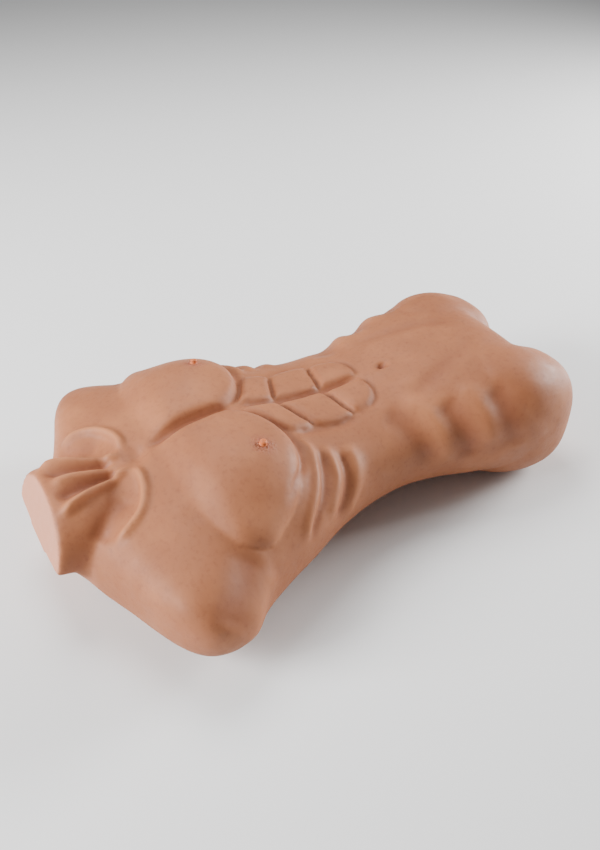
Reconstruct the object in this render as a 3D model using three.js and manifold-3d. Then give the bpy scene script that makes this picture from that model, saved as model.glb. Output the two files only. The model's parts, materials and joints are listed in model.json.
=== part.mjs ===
// A torso mannequin: a soft skin cast round a foam core, on a tubular steel frame with a stiff waist hinge.
// It lies on its back. X runs across the body, +Y from the neck cut to the thighs, +Z up through the chest.
// Lengths are in millimetres. Y = 0 is halfway along the body and Z = 0 is the floor under its back.
import * as THREE from "three";
import { mergeVertices } from "three/addons/utils/BufferGeometryUtils.js";
import Module from "manifold-3d";

const wasm = await Module();
wasm.setup();

// ---- Driving sizes ----------------------------------------------------------------------------------

const bodyLength = 650; // neck cut to thigh ends
const shoulderWidth = 434; // across the two shoulder stubs
const trunkDepth = 170; // back to breastbone
const skinWall = 18; // thickness of the cast skin
const gap = 0.3; // between pieces that rest on each other

const waistBand = 62; // length of the skin and foam that flex at the waist
const neckFoam = 18; // foam between the neck's cut and its disc
const foamCover = 5; // least foam between the steel discs and the skin
const shoulderFoam = 48; // foam past the ends of the shoulder bar
const foamRoom = 1.2; // foam stands off the steel by this much

const tubeRadius = 12; // spine tubes and shoulder bar
const tubeWall = 2;
const hoopRadius = 10; // solid round bar of the pelvis hoop
const hoopBend = 34; // centreline radius of its two bends

const plateSide = 88; // square cross plates between the tubes
const plateThick = 3;
const boltRadius = 4; // U-bolt rod
const boltOffset = 30; // U-bolts from the middle of their plate
const boltTail = 13; // rod that stands past the plate
const nutAcross = 13;
const nutThick = 6.5;

const discThick = 4;
const spigotLength = 22; // plugs that fit inside the tubes

const pivotRadius = 5; // waist bolt
const pivotAcross = 17; // its hexagon head and nut
const cheekThick = 5;
const cheekWidth = 30;
const tongueThick = 10;
const washerThick = 1.6;
const washerMargin = 2; // washers inside the edge of the fork's cheeks
const hingeReach = 26; // pivot to the tube ends
const shoulderThick = 8; // the fork's and tongue's shoulders, which close the tubes
const stopDepth = 6; // the foot under the fork that stops the waist from bending back
const pinRadius = 2.5; // cross pins that hold the fork and tongue in their tubes

const nippleRadius = 4.2;
const nippleHeight = 5;
const pegRadius = 2.6;
const pegLength = 9;

const notchDepth = 48; // the cleft between the thigh stubs
const notchHalfWidth = 32; // at the thigh ends
const notchTip = 8; // radius at its inner end

const around = 32; // facets round the body
const along = 38; // and along it

// ---- The figure's proportions -----------------------------------------------------------------------

// Share of the body's length, then half width as a share of half the shoulder width, then the height of the
// top, the bottom and the widest point as shares of the trunk's depth, then the roundness of the top.
const stations = [
  [0.0, 0.327, 0.79, 0.4, 0.53, 2.1],
  [0.03, 0.335, 0.8, 0.36, 0.49, 2.1],
  [0.055, 0.375, 0.79, 0.22, 0.45, 2.0],
  [0.073, 0.475, 0.78, 0.1, 0.43, 1.8],
  [0.092, 0.635, 0.775, 0.04, 0.43, 1.7],
  [0.111, 0.8, 0.76, 0.0, 0.43, 1.7],
  [0.131, 0.915, 0.75, -0.01, 0.42, 1.8],
  [0.155, 0.985, 0.76, -0.02, 0.39, 2.0],
  [0.19, 1.0, 0.8, -0.02, 0.37, 2.1],
  [0.215, 0.995, 0.845, -0.02, 0.36, 2.1],
  [0.24, 0.965, 0.875, -0.02, 0.35, 2.1],
  [0.27, 0.89, 0.9, -0.02, 0.36, 2.2],
  [0.323, 0.797, 0.91, -0.01, 0.4, 2.3],
  [0.392, 0.714, 0.89, 0.03, 0.45, 2.4],
  [0.46, 0.62, 0.84, 0.065, 0.465, 2.5],
  [0.538, 0.557, 0.82, 0.105, 0.47, 2.5],
  [0.615, 0.543, 0.83, 0.125, 0.49, 2.5],
  [0.692, 0.575, 0.885, 0.09, 0.53, 2.5],
  [0.769, 0.636, 0.935, 0.03, 0.55, 2.5],
  [0.838, 0.675, 0.96, -0.02, 0.56, 2.4],
  [0.905, 0.668, 0.94, -0.02, 0.51, 2.3],
  [0.945, 0.64, 0.88, 0.0, 0.47, 2.4],
  [0.971, 0.604, 0.835, 0.03, 0.455, 2.4],
  [0.988, 0.562, 0.78, 0.075, 0.44, 2.4],
  [1.0, 0.49, 0.69, 0.15, 0.43, 2.2],
];
const neckLean = (16 * Math.PI) / 180; // the neck's cut looks up by this much
const endShare = 0.092; // the lean, and the inset of both ends, fade out over this share of the length

const waistShare = 0.6; // the hinge line, where the body is narrowest
const shoulderShare = 0.2; // the shoulder bar
const spineShare = 0.545; // middle of the spine tubes above the floor, of the trunk's depth
const spineEndShare = 0.87; // the spine tubes end before this share of the body's length
const nippleShare = [0.4, 0.349]; // of half the shoulder width and of the body's length

// The soft domes of the chest: place across and along, reach across and along, height, in the same shares.
const domes = [[0.4, 0.328, 0.28, 0.08, 0.1]];

// One row of the stations table at any share of the length, as a smooth curve through its rows.
function stationAt(share) {
  let k = stations.findIndex((row) => row[0] >= share) - 1;
  k = Math.min(Math.max(k, 0), stations.length - 2);
  const [a, b] = [stations[k], stations[k + 1]];
  const before = stations[Math.max(k - 1, 0)];
  const after = stations[Math.min(k + 2, stations.length - 1)];
  const t = (share - a[0]) / (b[0] - a[0]);
  return a.map((value, i) => {
    const slopeA = ((b[i] - before[i]) / (b[0] - before[0])) * (b[0] - a[0]);
    const slopeB = ((after[i] - a[i]) / (after[0] - a[0])) * (b[0] - a[0]);
    const hermite = 2 * t ** 3 - 3 * t ** 2;
    const bend = (t ** 3 - 2 * t ** 2 + t) * slopeA + (t ** 3 - t ** 2) * slopeB;
    return value * (1 + hermite) - b[i] * hermite + bend;
  });
}

// The domes' height over one place on the front.
function relief(x, fromNeck) {
  const across = Math.abs(x) / (shoulderWidth / 2);
  const share = fromNeck / bodyLength;
  return domes.reduce((sum, [cx, cy, rx, ry, high]) => {
    const reach = ((across - cx) / rx) ** 2 + ((share - cy) / ry) ** 2;
    return sum + high * trunkDepth * Math.exp(-reach);
  }, 0);
}

// The body's section at one distance from the neck cut, taken in by inset.
function sectionAt(fromNeck, inset) {
  const [, half, top, bottom, middle, round] = stationAt(fromNeck / bodyLength);
  return {
    half: (half * shoulderWidth) / 2 - inset,
    top: top * trunkDepth - inset,
    bottom: bottom * trunkDepth + inset,
    middle: middle * trunkDepth,
    round,
  };
}

// Distance from the neck cut turned into the model's Y.
const placeY = (fromNeck) => fromNeck - bodyLength / 2;

// 1 at an end of the body, falling to 0 further in.
const endFade = (fromEnd) => Math.max(0, 1 - fromEnd / (endShare * bodyLength));

// How far the lean of the neck's cut moves a point along the body.
function neckShift(fromNeck, height) {
  return Math.tan(neckLean) * (height - stations[0][3] * trunkDepth) * endFade(fromNeck);
}

const curved = (value, roundness) => Math.sign(value) * Math.abs(value) ** (2 / roundness);
const lowerRoundness = 3; // the back is flatter than the front

// The whole body, taken in by inset on every side, as a closed geometry.
function bodyGeometry(inset) {
  const g = new THREE.CylinderGeometry(1, 1, 1, around, along);
  const p = g.attributes.position;
  for (let i = 0; i < p.count; i++) {
    const [sine, cosine] = [p.getX(i), p.getZ(i)];
    const onRim = Math.hypot(sine, cosine);
    const ring = (p.getY(i) + 0.5) * bodyLength;
    const fromNeck = ring + inset * (endFade(ring) - endFade(bodyLength - ring));
    const s = sectionAt(fromNeck, inset);
    const x = curved(sine, s.round) * s.half;
    const upper = (s.top - s.middle + relief(x, fromNeck) * onRim) * curved(cosine, s.round);
    const lower = (s.middle - s.bottom) * curved(cosine, lowerRoundness);
    const height = s.middle + (cosine > 0 ? upper : lower);
    p.setXYZ(i, x, placeY(fromNeck + neckShift(fromNeck, height)), height);
  }
  return g;
}

// Whether a point lies inside the body by at least the given cover.
function isCovered(x, fromNeck, height, cover) {
  const s = sectionAt(fromNeck, cover);
  if (Math.abs(x) > s.half) return false;
  if (fromNeck > bodyLength - notchDepth - cover && Math.abs(x) < notchHalfWidth + cover) return false;
  const sine = (Math.abs(x) / s.half) ** (s.round / 2);
  const cosine = Math.sqrt(1 - sine ** 2);
  const top = s.middle + (s.top - s.middle) * curved(cosine, s.round);
  const bottom = s.middle - (s.middle - s.bottom) * curved(cosine, lowerRoundness);
  return height < top && height > bottom;
}

// The largest disc square to an axis ("x" or "y") that keeps the foam's cover all round it.
function discRadiusAt(axis, x, fromNeck, height) {
  const turns = Array.from({ length: 16 }, (_, i) => (i * Math.PI) / 8);
  const fits = (radius) =>
    turns.every((turn) => {
      const level = radius * Math.cos(turn);
      const place = axis === "x" ? [x, fromNeck + level] : [x + level, fromNeck];
      return isCovered(...place, height + radius * Math.sin(turn), skinWall + foamCover);
    });
  let radius = 0;
  while (fits(radius + 0.5)) radius += 0.5;
  return radius;
}

// ---- Solids -----------------------------------------------------------------------------------------

function solidOf(geometry) {
  const g = geometry.clone();
  g.deleteAttribute("normal");
  g.deleteAttribute("uv");
  const merged = mergeVertices(g, 1e-3);
  return new wasm.Manifold(
    new wasm.Mesh({
      numProp: 3,
      vertProperties: new Float32Array(merged.attributes.position.array),
      triVerts: new Uint32Array(merged.index.array),
    }),
  );
}

function geometryOf(solid) {
  const mesh = solid.getMesh();
  const g = new THREE.BufferGeometry();
  g.setAttribute("position", new THREE.BufferAttribute(new Float32Array(mesh.vertProperties), 3));
  g.setIndex(new THREE.BufferAttribute(new Uint32Array(mesh.triVerts), 1));
  const flat = g.toNonIndexed();
  flat.computeVertexNormals();
  return flat;
}

function boxSolid(low, high) {
  const size = high.map((value, i) => value - low[i]);
  const g = new THREE.BoxGeometry(...size);
  g.translate(...high.map((value, i) => (value + low[i]) / 2));
  return solidOf(g);
}

// A round bar, or a tube where bore is given, along one axis ("x", "y" or "z") between two places on it.
function roundBar(axis, from, to, radius, centre, facets = 24, bore = 0) {
  const length = to - from;
  const outline = [
    [bore, 0],
    [radius, 0],
    [radius, length],
    [bore, length],
  ].map(([r, h]) => new THREE.Vector2(r, h));
  if (bore > 0) outline.push(outline[0].clone());
  const g = new THREE.LatheGeometry(outline, facets);
  if (axis === "x") g.rotateZ(-Math.PI / 2);
  if (axis === "z") g.rotateX(Math.PI / 2);
  const start = { x: [from, 0, 0], y: [0, from, 0], z: [0, 0, from] }[axis];
  g.translate(start[0] + centre[0], start[1] + centre[1], start[2] + centre[2]);
  return solidOf(g);
}

// A round bar swept along a curve.
function sweptBar(curve, radius, steps, facets) {
  const outline = new THREE.Shape();
  outline.absarc(0, 0, radius, 0, 2 * Math.PI, false);
  const g = new THREE.ExtrudeGeometry(outline, {
    steps,
    extrudePath: curve,
    curveSegments: facets / 2, // a closed arc takes two steps for each
    bevelEnabled: false,
  });
  return solidOf(g);
}

// The cleft between the thighs, grown by inset, as an upright wedge with a round inner end.
function notchSolid(inset) {
  const tipToEnd = notchDepth - notchTip;
  const past = 10; // the wedge runs on past the thigh ends
  const lean = Math.asin(notchTip / Math.hypot(notchHalfWidth, tipToEnd));
  const flank = Math.atan2(notchHalfWidth, tipToEnd) - lean;
  const mouth = notchHalfWidth + past * Math.tan(flank) + inset / Math.cos(flank);
  const outline = new THREE.Shape();
  outline.moveTo(mouth, placeY(bodyLength + past));
  outline.lineTo(-mouth, placeY(bodyLength + past));
  const tipY = placeY(bodyLength - tipToEnd);
  outline.absarc(0, tipY, notchTip + inset, Math.PI + flank, 2 * Math.PI - flank, false);
  const g = new THREE.ExtrudeGeometry(outline, {
    depth: 2 * trunkDepth,
    curveSegments: 8,
    bevelEnabled: false,
  });
  g.translate(0, 0, -trunkDepth / 2);
  return solidOf(g);
}

const bodySolid = (inset) => solidOf(bodyGeometry(inset)).subtract(notchSolid(inset));

// The half of space above the floor, which leaves the body two flat faces to lie on.
const aboveFloor = () => boxSolid([-bodyLength, -bodyLength, 0], [bodyLength, bodyLength, bodyLength]);

// The slice of the body between two distances from the neck cut.
function slice(solid, from, to) {
  const wide = shoulderWidth;
  return solid.intersect(boxSolid([-wide, placeY(from), -wide], [wide, placeY(to), wide]));
}

// ---- Materials and nodes ----------------------------------------------------------------------------

const finish = (color, roughness, metalness) =>
  new THREE.MeshStandardMaterial({ color, roughness, metalness });
const skinFinish = finish(0xb98468, 0.55, 0);
const nippleFinish = finish(0xb56a4c, 0.45, 0);
const foamFinish = finish(0xe8dfc8, 0.95, 0);
const steelFinish = finish(0x8d9196, 0.38, 0.9);
const zincFinish = finish(0xc3c6c4, 0.3, 1);
const nylonFinish = finish(0xe9e7df, 0.5, 0);

const torso = new THREE.Group();
torso.name = "torso_mannequin";

function addNode(name, solid, material) {
  const mesh = new THREE.Mesh(geometryOf(solid), material);
  mesh.name = name;
  torso.add(mesh);
}

const sides = [
  ["left", -1],
  ["right", 1],
];

// ---- Frame ------------------------------------------------------------------------------------------

const waistAt = waistShare * bodyLength;
const bandStart = waistAt - waistBand / 2;
const bandEnd = waistAt + waistBand / 2;
const overSpine = stations.filter(([share]) => share < spineEndShare);
const lowestFront = Math.min(...overSpine.map((row) => row[2])) * trunkDepth;
const spineHeight = Math.min(spineShare * trunkDepth, lowestFront - skinWall - foamRoom - tubeRadius);
const plateTop = spineHeight - tubeRadius - gap; // the spine rests on the cross plates
const plateBottom = plateTop - plateThick;
const tubeBore = tubeRadius - tubeWall;
const onSpine = [0, 0, spineHeight];

const barAt = shoulderShare * bodyLength;
const barHeight = plateBottom - gap - tubeRadius;
const barHalf = sectionAt(barAt, skinWall).half - shoulderFoam;

const hoopAt = bodyLength - notchDepth - skinWall - foamCover - plateSide / 2; // its cross run
const hoopHeight = plateBottom - gap - hoopRadius;
const thighDiscAt = bodyLength - skinWall - foamCover - discThick;
const hoopHalfSpan = (notchHalfWidth + sectionAt(thighDiscAt, 0).half) / 2; // midway through each thigh

const neckDiscAt = skinWall + neckFoam;
const spineUpperFrom = neckDiscAt + discThick + gap;
const spineUpperTo = waistAt - hingeReach - gap;
const spineLowerFrom = waistAt + hingeReach + gap;
const spineLowerTo = hoopAt + plateSide / 4;

function spineTube(from, to) {
  return roundBar("y", placeY(from), placeY(to), tubeRadius, onSpine, 24, tubeBore);
}

// A hole through a tube's two walls, from side to side.
const pinHole = (at, radius) =>
  roundBar("x", -2 * tubeRadius, 2 * tubeRadius, radius, [0, placeY(at), spineHeight], 12);

function spines() {
  const forkPinAt = spineUpperTo - spigotLength / 2;
  const tonguePinAt = spineLowerFrom + spigotLength / 2;
  const upper = spineTube(spineUpperFrom, spineUpperTo);
  const lower = spineTube(spineLowerFrom, spineLowerTo);
  addNode("spine_upper", upper.subtract(pinHole(forkPinAt, pinRadius + gap)), steelFinish);
  addNode("spine_lower", lower.subtract(pinHole(tonguePinAt, pinRadius + gap)), steelFinish);
  for (const [name, at] of [
    ["fork_pin", forkPinAt],
    ["tongue_pin", tonguePinAt],
  ]) {
    const half = tubeRadius;
    addNode(name, roundBar("x", -half, half, pinRadius, [0, placeY(at), spineHeight], 12), zincFinish);
  }
}

const neckDiscRadius = discRadiusAt("y", 0, neckDiscAt, spineHeight);
const shoulderDiscFace = barHalf + gap + discThick;
const shoulderDiscRadius = discRadiusAt("x", shoulderDiscFace, barAt, barHeight);
const thighDiscRadius = discRadiusAt("y", hoopHalfSpan, thighDiscAt + discThick, hoopHeight);

// A round disc with a plug behind it that fits in a tube. sign is the way from disc to plug.
function pluggedDisc(axis, face, sign, radius, centre) {
  const back = face + sign * discThick;
  const tip = back + sign * spigotLength;
  const ordered = (a, b) => [Math.min(a, b), Math.max(a, b)];
  const disc = roundBar(axis, ...ordered(face, back), radius, centre, 32);
  const plug = roundBar(axis, ...ordered(face + (sign * discThick) / 2, tip), tubeBore - gap, centre, 20);
  return disc.add(plug);
}

function neckAndShoulders() {
  addNode("neck_disc", pluggedDisc("y", placeY(neckDiscAt), 1, neckDiscRadius, onSpine), steelFinish);
  const centre = [0, placeY(barAt), barHeight];
  addNode("shoulder_bar", roundBar("x", -barHalf, barHalf, tubeRadius, centre, 24, tubeBore), steelFinish);
  for (const [side, sign] of sides) {
    const disc = pluggedDisc("x", sign * shoulderDiscFace, -sign, shoulderDiscRadius, centre);
    addNode(`shoulder_disc_${side}`, disc, steelFinish);
  }
}

// The pelvis hoop: a cross run with a leg bent back into each thigh.
class HoopLine extends THREE.Curve {
  getPoint(share, target = new THREE.Vector3()) {
    const leg = thighDiscAt - gap - hoopAt - hoopBend;
    const run = 2 * (hoopHalfSpan - hoopBend);
    const arc = (Math.PI / 2) * hoopBend;
    let s = share * (2 * leg + 2 * arc + run);
    const right = s > leg + arc + run / 2;
    if (right) s = 2 * leg + 2 * arc + run - s;
    let [x, y] = [-hoopHalfSpan, hoopAt + hoopBend + leg - s];
    if (s > leg) {
      const turn = Math.min((s - leg) / hoopBend, Math.PI / 2);
      x = -hoopHalfSpan + hoopBend * (1 - Math.cos(turn)) + Math.max(s - leg - arc, 0);
      y = hoopAt + hoopBend * (1 - Math.sin(turn));
    }
    return target.set(right ? -x : x, placeY(y), hoopHeight);
  }
}

function pelvisHoop() {
  addNode("pelvis_hoop", sweptBar(new HoopLine(), hoopRadius, 44, 12), steelFinish);
  for (const [side, sign] of sides) {
    const centre = [sign * hoopHalfSpan, 0, hoopHeight];
    const face = placeY(thighDiscAt);
    const disc = roundBar("y", face, face + discThick, thighDiscRadius, centre, 32);
    addNode(`thigh_disc_${side}`, disc, steelFinish);
  }
}

// A U-bolt's centreline round a tube that runs along Y, open downwards, with its legs on X.
class UBoltLine extends THREE.Curve {
  constructor(halfSpan, legLength) {
    super();
    this.halfSpan = halfSpan;
    this.legLength = legLength;
  }
  getPoint(share, target = new THREE.Vector3()) {
    const arc = Math.PI * this.halfSpan;
    const s = share * (2 * this.legLength + arc) - this.legLength;
    if (s < 0) return target.set(-this.halfSpan, 0, s);
    if (s > arc) return target.set(this.halfSpan, 0, arc - s);
    const turn = s / this.halfSpan;
    return target.set(-this.halfSpan * Math.cos(turn), 0, this.halfSpan * Math.sin(turn));
  }
}

// A cross plate at one place along the spine, with a U-bolt up over the spine, a U-bolt down round the bar
// that crosses under it, and their four nuts. toWaist is the way to the waist along Y, 1 or -1, and the
// spine's U-bolt is on that side.
function crossPlate(prefix, at, crossRadius, toWaist) {
  const y = placeY(at);
  const half = plateSide / 2;
  const spineSpan = tubeRadius + boltRadius + gap;
  const crossSpan = crossRadius + boltRadius + gap;
  const over = { x: spineSpan, y: toWaist * boltOffset };
  const under = { x: boltOffset, y: crossSpan };
  const holes = [
    [-over.x, over.y],
    [over.x, over.y],
    [under.x, -under.y],
    [under.x, under.y],
  ];
  let plate = boxSolid([-half, y - half, plateBottom], [half, y + half, plateTop]);
  for (const [dx, dy] of holes) {
    const hole = roundBar("z", plateBottom - 5, plateTop + 5, boltRadius + gap, [dx, y + dy, 0], 12);
    plate = plate.subtract(hole);
  }
  addNode(`${prefix}_plate`, plate, steelFinish);

  const overLeg = spineHeight - plateBottom + boltTail;
  const overBolt = sweptBar(new UBoltLine(spineSpan, overLeg), boltRadius, 22, 8);
  addNode(`${prefix}_spine_u_bolt`, overBolt.translate([0, y + over.y, spineHeight]), zincFinish);

  const crossHeight = plateBottom - gap - crossRadius;
  const underLeg = plateTop + boltTail - crossHeight;
  const underBolt = sweptBar(new UBoltLine(crossSpan, underLeg), boltRadius, 22, 8);
  const turned = underBolt.rotate([180, 0, 90]).translate([under.x, y, crossHeight]);
  addNode(`${prefix}_cross_u_bolt`, turned, zincFinish);

  holes.forEach(([dx, dy], i) => {
    const seat = i < 2 ? plateBottom - gap - nutThick : plateTop + gap;
    const nut = nutSolid("z", seat, [dx, y + dy, 0], nutAcross, nutThick, boltRadius);
    addNode(`${prefix}_nut_${i + 1}`, nut, zincFinish);
  });
}

function nutSolid(axis, from, centre, across, thick, rodRadius) {
  const corner = across / Math.sqrt(3);
  const blank = roundBar(axis, from, from + thick, corner, centre, 6);
  return blank.subtract(roundBar(axis, from - 1, from + thick + 1, rodRadius + gap, centre, 12));
}

// ---- Waist hinge ------------------------------------------------------------------------------------

const cheekInner = tongueThick / 2 + washerThick + 2 * gap;
const cheekOuter = cheekInner + cheekThick;
const washerRadius = cheekWidth / 2 - washerMargin;
const onPivot = [0, placeY(waistAt), spineHeight];
const pivotHole = (radius) => roundBar("x", -3 * cheekOuter, 3 * cheekOuter, radius, onPivot, 20);

// A flat bar with a round end at the pivot, standing upright along the spine towards one side of it.
function hingeBar(innerX, outerX, towards) {
  const half = cheekWidth / 2;
  const reach = placeY(waistAt) + towards * (hingeReach - 2);
  const low = Math.min(reach, placeY(waistAt));
  const high = Math.max(reach, placeY(waistAt));
  const flat = boxSolid([innerX, low, spineHeight - half], [outerX, high, spineHeight + half]);
  return flat.add(roundBar("x", innerX, outerX, half, onPivot, 32));
}

// The shoulder that closes a spine tube, and the plug inside it.
function hingeRoot(towards) {
  const near = placeY(waistAt) + towards * (hingeReach - shoulderThick);
  const far = placeY(waistAt) + towards * hingeReach;
  const tip = far + towards * spigotLength;
  const half = cheekWidth / 2;
  const [low, high] = [Math.min(near, far), Math.max(near, far)];
  const shoulder = boxSolid([-half, low, spineHeight - half - stopDepth], [half, high, spineHeight + half]);
  const inside = (near + far) / 2;
  const plug = roundBar("y", Math.min(inside, tip), Math.max(inside, tip), tubeBore - gap, onSpine, 20);
  return shoulder.add(plug);
}

// The foot under the fork. It meets the tongue's shoulder when the waist is straight.
function stopFoot() {
  const reach = hingeReach - shoulderThick;
  const top = spineHeight - cheekWidth / 2 - gap;
  const base = spineHeight - cheekWidth / 2 - stopDepth;
  const start = placeY(waistAt) - reach - shoulderThick / 2;
  return boxSolid([-cheekOuter, start, base], [cheekOuter, placeY(waistAt) + reach - gap, top]);
}

function waistHinge() {
  const forkPin = pinHole(spineUpperTo - spigotLength / 2, pinRadius + gap);
  const tonguePin = pinHole(spineLowerFrom + spigotLength / 2, pinRadius + gap);
  const fork = hingeBar(-cheekOuter, -cheekInner, -1)
    .add(hingeBar(cheekInner, cheekOuter, -1))
    .add(hingeRoot(-1))
    .add(stopFoot())
    .subtract(pivotHole(pivotRadius + gap))
    .subtract(forkPin);
  addNode("waist_fork", fork, steelFinish);
  const tongue = hingeBar(-tongueThick / 2, tongueThick / 2, 1)
    .add(hingeRoot(1))
    .subtract(pivotHole(pivotRadius + gap))
    .subtract(tonguePin);
  addNode("waist_tongue", tongue, steelFinish);
  for (const [side, sign] of sides) {
    const from = sign > 0 ? tongueThick / 2 + gap : -tongueThick / 2 - gap - washerThick;
    const washer = roundBar("x", from, from + washerThick, washerRadius, onPivot, 28, pivotRadius + gap);
    addNode(`friction_washer_${side}`, washer, nylonFinish);
  }
  const head = cheekOuter + gap;
  const shank = roundBar("x", -head - 1, cheekOuter + nutThick + 6, pivotRadius, onPivot, 20);
  const hexHead = roundBar("x", -head - nutThick, -head, pivotAcross / Math.sqrt(3), onPivot, 6);
  addNode("waist_bolt", shank.add(hexHead), zincFinish);
  addNode("waist_nut", nutSolid("x", head, onPivot, pivotAcross, nutThick, pivotRadius), zincFinish);
}

// ---- Foam core --------------------------------------------------------------------------------------

// Every space that the foam leaves for the frame, from the neck disc to the thigh discs.
function frameRoom() {
  const grownTube = tubeRadius + foamRoom;
  const spineTo = placeY(spineLowerTo) + foamRoom;
  const neckFrom = placeY(neckDiscAt) - foamRoom;
  const neckTo = placeY(spineUpperFrom) + foamRoom;
  const bar = [0, placeY(barAt), barHeight];
  const barReach = shoulderDiscFace + foamRoom;
  const room = [
    roundBar("y", placeY(spineUpperFrom), spineTo, grownTube, onSpine, 16),
    roundBar("y", neckFrom, neckTo, neckDiscRadius + foamRoom, onSpine, 24),
    sweptBar(new HoopLine(), hoopRadius + foamRoom, 44, 8),
    roundBar("x", -barReach, barReach, grownTube, bar, 16),
  ];
  for (const [, sign] of sides) {
    const disc = sign * (shoulderDiscFace - discThick / 2);
    const half = discThick / 2 + foamRoom;
    room.push(roundBar("x", disc - half, disc + half, shoulderDiscRadius + foamRoom, bar, 20));
    const thigh = [sign * hoopHalfSpan, 0, hoopHeight];
    const middle = placeY(thighDiscAt + discThick / 2);
    room.push(roundBar("y", middle - half, middle + half, thighDiscRadius + foamRoom, thigh, 20));
  }
  room.push(...clampRoom(barAt, tubeRadius, 1), ...clampRoom(hoopAt, hoopRadius, -1));
  return wasm.Manifold.union(room);
}

// The space round one cross plate with its bolts and nuts.
function clampRoom(at, crossRadius, toWaist) {
  const overAt = placeY(at) + toWaist * boltOffset;
  const y = placeY(at);
  const half = plateSide / 2 + foamRoom;
  const tail = boltTail + foamRoom;
  const rod = boltRadius + foamRoom;
  const spineReach = tubeRadius + gap + 2 * boltRadius + foamRoom;
  const crossReach = crossRadius + gap + 2 * boltRadius + foamRoom;
  const crossHeight = plateBottom - gap - crossRadius;
  const plate = boxSolid([-half, y - half, plateBottom - tail], [half, y + half, plateTop + tail]);
  const over = boxSolid(
    [-spineReach, overAt - rod, plateTop],
    [spineReach, overAt + rod, spineHeight + spineReach],
  );
  const under = boxSolid(
    [boltOffset - rod, y - crossReach, crossHeight - crossReach],
    [boltOffset + rod, y + crossReach, plateTop],
  );
  return [plate, over, under];
}

// The clear space round the hinge, so that its bolt head and nut stay off the foam as it bends.
function hingeRoom() {
  const half = cheekOuter + gap + nutThick + boltTail;
  const reach = hingeReach + foamRoom;
  const tall = cheekWidth / 2 + stopDepth;
  return boxSolid(
    [-half, placeY(waistAt - reach), spineHeight - tall - foamRoom],
    [half, placeY(waistAt + reach), spineHeight + tall + foamRoom],
  );
}

function skinAndCore() {
  const outside = bodySolid(0).intersect(aboveFloor());
  const inside = bodySolid(skinWall);
  let skin = outside.subtract(inside);
  const core = bodySolid(skinWall + gap).subtract(frameRoom()).subtract(hingeRoom());
  const wide = shoulderWidth;
  const front = boxSolid([-wide, -bodyLength, spineHeight + gap / 2], [wide, bodyLength, wide]);
  const back = boxSolid([-wide, -bodyLength, -wide], [wide, bodyLength, spineHeight - gap / 2]);

  // The two nipples are small cast buttons with pegs, let into the chest.
  for (const [side, sign] of sides) {
    const centre = [(sign * nippleShare[0] * shoulderWidth) / 2, placeY(nippleShare[1] * bodyLength), 0];
    const under = roundBar("z", 0, 2 * trunkDepth, nippleRadius, centre, 16).intersect(outside);
    const seat = under.boundingBox().max[2] + gap;
    const pegFoot = seat - pegLength;
    skin = skin.subtract(roundBar("z", pegFoot - gap, seat, pegRadius + gap, centre, 12));
    const peg = roundBar("z", pegFoot, seat + 1, pegRadius, centre, 12);
    const cap = new THREE.SphereGeometry(nippleRadius, 16, 8, 0, 2 * Math.PI, 0, Math.PI);
    cap.rotateX(Math.PI / 2);
    cap.translate(centre[0], centre[1], seat + nippleHeight - nippleRadius);
    const aboveSeat = boxSolid([-wide, -bodyLength, seat], [wide, bodyLength, 3 * trunkDepth]);
    addNode(`nipple_${side}`, peg.add(solidOf(cap).intersect(aboveSeat)), nippleFinish);
  }

  addNode("skin_chest", slice(skin, -1, bandStart - gap), skinFinish);
  addNode("skin_waist", slice(skin, bandStart, bandEnd), skinFinish);
  addNode("skin_pelvis", slice(skin, bandEnd + gap, bodyLength + 1), skinFinish);
  addNode("core_chest_front", slice(core, 0, bandStart - gap).intersect(front), foamFinish);
  addNode("core_chest_back", slice(core, 0, bandStart - gap).intersect(back), foamFinish);
  addNode("core_waist", slice(core, bandStart, bandEnd), foamFinish);
  addNode("core_pelvis_front", slice(core, bandEnd + gap, bodyLength).intersect(front), foamFinish);
  addNode("core_pelvis_back", slice(core, bandEnd + gap, bodyLength).intersect(back), foamFinish);
}

spines();
neckAndShoulders();
pelvisHoop();
crossPlate("shoulder", barAt, tubeRadius, 1);
crossPlate("pelvis", hoopAt, hoopRadius, -1);
waistHinge();
skinAndCore();

export default torso;
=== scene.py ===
"""A torso mannequin: a soft cast skin over a foam core and a steel frame with a stiff waist hinge.

It lies on its back. X runs across the body, +Y from the neck cut to the thighs, and +Z up through the chest.
Distances in the tables below are in millimetres: across from the middle, along from the neck cut, and up
from the floor.
"""

import json
import math

import bmesh
import bpy
import numpy as np
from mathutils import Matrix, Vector
from mathutils.bvhtree import BVHTree


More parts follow.
